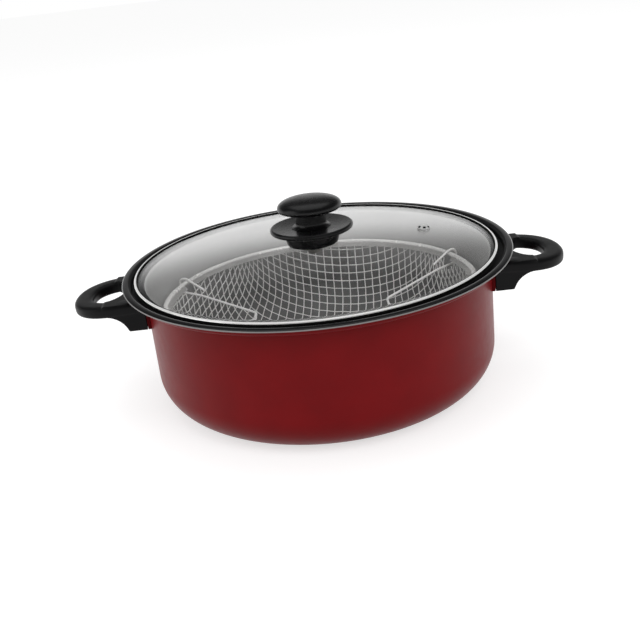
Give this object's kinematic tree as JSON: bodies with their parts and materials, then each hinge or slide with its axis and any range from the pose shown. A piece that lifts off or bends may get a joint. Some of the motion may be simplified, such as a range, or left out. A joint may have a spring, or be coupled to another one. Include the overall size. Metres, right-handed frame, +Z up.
{
  "type": "deep fry pot with basket",
  "caption": "Wide red frying pot with black loop handles, a domed glass lid with a knob, and a lift-out wire basket whose wire handles fold inwards.",
  "frame": {"origin": "the middle of the pot's flat base, on the surface it stands on", "axes": "+Z up; +X along the line of the two side handles; +Y away from the side that the picture shows"},
  "size_m": [0.384, 0.3, 0.1484],
  "materials": {
    "red_enamel": "gloss dark red coating outside, satin dark grey lip and pale grey inside",
    "phenolic": "satin moulded black phenolic",
    "tempered_glass": "clear tempered glass",
    "polished_steel": "polished stainless steel",
    "zinc_steel": "zinc plated",
    "basket_steel": "bright tinned sheet",
    "basket_wire": "bright tinned wire",
    "brass": "machined",
    "silicone": "grey silicone"
  },
  "bodies": {
    "pot": {"pot_shell": "red_enamel", "handle_bracket_left": "red_enamel", "handle_bracket_right": "red_enamel", "side_handle_left": "phenolic", "side_handle_right": "phenolic", "handle_screw_left": "zinc_steel", "handle_screw_right": "zinc_steel", "handle_washer_left": "zinc_steel", "handle_washer_right": "zinc_steel"},
    "lid": {"lid_glass": "tempered_glass", "lid_rim_band": "polished_steel", "vent_eyelet": "polished_steel", "knob_seat": "phenolic", "knob_skirt": "phenolic", "knob_grip": "phenolic", "knob_insert": "brass", "lid_gasket": "silicone", "lid_washer": "zinc_steel", "knob_screw": "zinc_steel"},
    "basket": {"basket_rim": "basket_steel", "basket_net": "basket_wire"},
    "bail_left": {"basket_handle_left": "basket_wire"},
    "bail_right": {"basket_handle_right": "basket_wire"}
  },
  "joints": [
    {"name": "lid_lift", "type": "slide", "parent": "pot", "child": "lid", "axis": [0, 0, 1], "range_m": [0, 0.3]},
    {"name": "basket_lift", "type": "slide", "parent": "pot", "child": "basket", "axis": [0, 0, 1], "range_m": [0, 0.21]},
    {"name": "bail_right_fold", "type": "hinge", "parent": "basket", "child": "bail_right", "pos_m": [0.11228, 0, 0.0737], "axis": [0, 1, 0], "range_deg": [0, 100]},
    {"name": "bail_left_fold", "type": "hinge", "parent": "basket", "child": "bail_left", "pos_m": [-0.11228, 0, 0.0737], "axis": [0, -1, 0], "range_deg": [0, 100]}
  ],
  "couplings": [
    {"joint": "basket_lift", "follows": "lid_lift", "ratio": 0.7},
    {"joint": "bail_right_fold", "follows": "lid_lift", "rad_per_m": 5.8},
    {"joint": "bail_left_fold", "follows": "lid_lift", "rad_per_m": 5.8}
  ]
}
